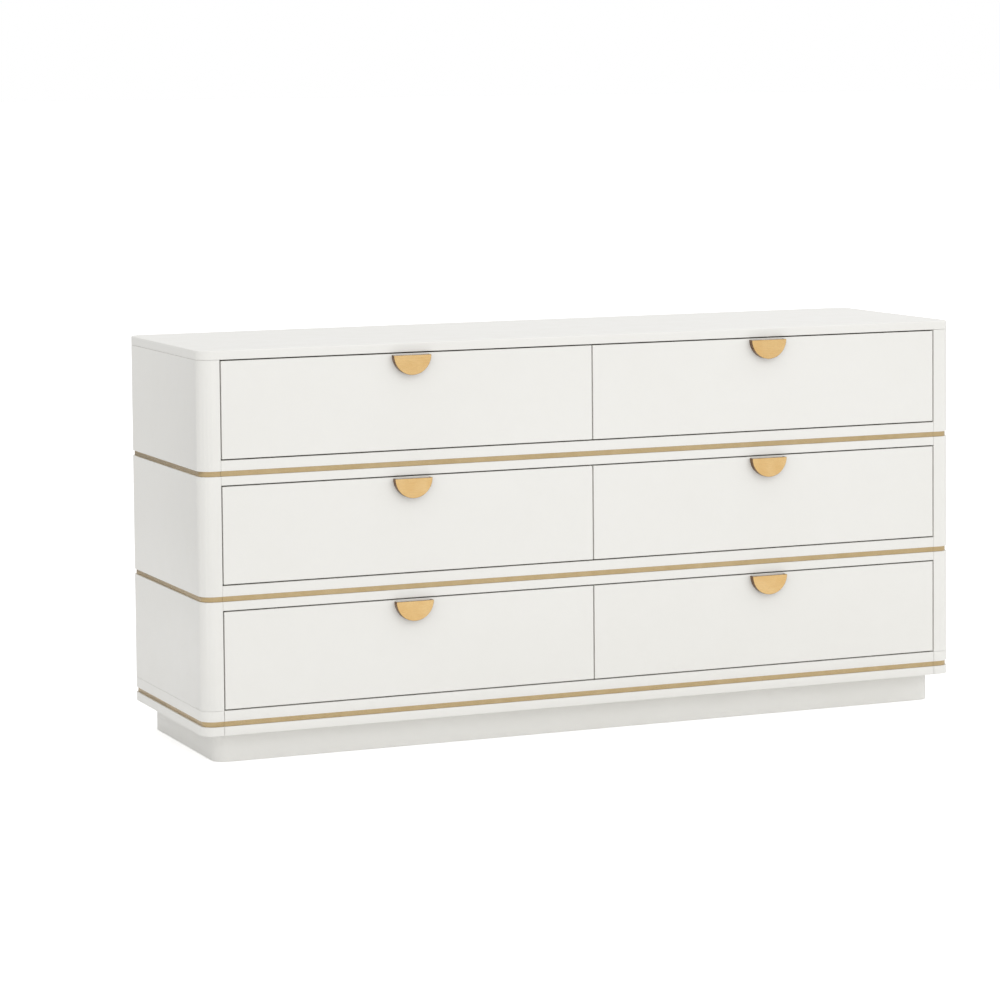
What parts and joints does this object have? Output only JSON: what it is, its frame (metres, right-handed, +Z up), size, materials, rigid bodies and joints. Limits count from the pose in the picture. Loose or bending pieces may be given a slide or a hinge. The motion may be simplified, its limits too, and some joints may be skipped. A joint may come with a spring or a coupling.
{
  "type": "dresser with drawers",
  "caption": "Low wide chest with two columns of inset drawers, rounded corners, recessed metal bands, half-round pulls and a set-back plinth.",
  "frame": {"origin": "middle of the overall box, on the floor under the plinth", "axes": "+X along the width to the right as seen from the front, +Y to the back (drawers open towards -Y), +Z up"},
  "size_m": [1.5748, 0.4572, 0.7671],
  "materials": {
    "white_lacquer": "warm white satin lacquer over board",
    "brushed_brass": "brushed satin brass",
    "drawer_box_wood": "clear sealed light hardwood",
    "drawer_floor_board": "light veneered thin board",
    "zinc_steel": "bright zinc plate"
  },
  "bodies": {
    "carcass": {"top_panel": "white_lacquer", "side_panel_left": "white_lacquer", "side_panel_right": "white_lacquer", "back_panel": "white_lacquer", "center_divider": "white_lacquer", "upper_rail": "white_lacquer", "lower_rail": "white_lacquer", "base_frame": "white_lacquer", "upper_band": "brushed_brass", "middle_band": "brushed_brass", "lower_band": "brushed_brass", "plinth": "white_lacquer", "runner_top_left_inner": "zinc_steel", "runner_top_left_outer": "zinc_steel", "runner_top_right_inner": "zinc_steel", "runner_top_right_outer": "zinc_steel", "runner_middle_left_inner": "zinc_steel", "runner_middle_left_outer": "zinc_steel", "runner_middle_right_inner": "zinc_steel", "runner_middle_right_outer": "zinc_steel", "runner_bottom_left_inner": "zinc_steel", "runner_bottom_left_outer": "zinc_steel", "runner_bottom_right_inner": "zinc_steel", "runner_bottom_right_outer": "zinc_steel"},
    "drawer_top_left": {"drawer_top_left_front": "white_lacquer", "drawer_top_left_pull": "brushed_brass", "drawer_top_left_box": "drawer_box_wood", "drawer_top_left_floor": "drawer_floor_board", "drawer_top_left_slide_inner": "zinc_steel", "drawer_top_left_slide_outer": "zinc_steel"},
    "drawer_top_right": {"drawer_top_right_front": "white_lacquer", "drawer_top_right_pull": "brushed_brass", "drawer_top_right_box": "drawer_box_wood", "drawer_top_right_floor": "drawer_floor_board", "drawer_top_right_slide_inner": "zinc_steel", "drawer_top_right_slide_outer": "zinc_steel"},
    "drawer_middle_left": {"drawer_middle_left_front": "white_lacquer", "drawer_middle_left_pull": "brushed_brass", "drawer_middle_left_box": "drawer_box_wood", "drawer_middle_left_floor": "drawer_floor_board", "drawer_middle_left_slide_inner": "zinc_steel", "drawer_middle_left_slide_outer": "zinc_steel"},
    "drawer_middle_right": {"drawer_middle_right_front": "white_lacquer", "drawer_middle_right_pull": "brushed_brass", "drawer_middle_right_box": "drawer_box_wood", "drawer_middle_right_floor": "drawer_floor_board", "drawer_middle_right_slide_inner": "zinc_steel", "drawer_middle_right_slide_outer": "zinc_steel"},
    "drawer_bottom_left": {"drawer_bottom_left_front": "white_lacquer", "drawer_bottom_left_pull": "brushed_brass", "drawer_bottom_left_box": "drawer_box_wood", "drawer_bottom_left_floor": "drawer_floor_board", "drawer_bottom_left_slide_inner": "zinc_steel", "drawer_bottom_left_slide_outer": "zinc_steel"},
    "drawer_bottom_right": {"drawer_bottom_right_front": "white_lacquer", "drawer_bottom_right_pull": "brushed_brass", "drawer_bottom_right_box": "drawer_box_wood", "drawer_bottom_right_floor": "drawer_floor_board", "drawer_bottom_right_slide_inner": "zinc_steel", "drawer_bottom_right_slide_outer": "zinc_steel"}
  },
  "joints": [
    {"name": "drawer_top_left_travel", "type": "slide", "parent": "carcass", "child": "drawer_top_left", "axis": [0, -1, 0], "range_m": [0, 0.27]},
    {"name": "drawer_top_right_travel", "type": "slide", "parent": "carcass", "child": "drawer_top_right", "axis": [0, -1, 0], "range_m": [0, 0.27]},
    {"name": "drawer_middle_left_travel", "type": "slide", "parent": "carcass", "child": "drawer_middle_left", "axis": [0, -1, 0], "range_m": [0, 0.27]},
    {"name": "drawer_middle_right_travel", "type": "slide", "parent": "carcass", "child": "drawer_middle_right", "axis": [0, -1, 0], "range_m": [0, 0.27]},
    {"name": "drawer_bottom_left_travel", "type": "slide", "parent": "carcass", "child": "drawer_bottom_left", "axis": [0, -1, 0], "range_m": [0, 0.27]},
    {"name": "drawer_bottom_right_travel", "type": "slide", "parent": "carcass", "child": "drawer_bottom_right", "axis": [0, -1, 0], "range_m": [0, 0.27]}
  ]
}
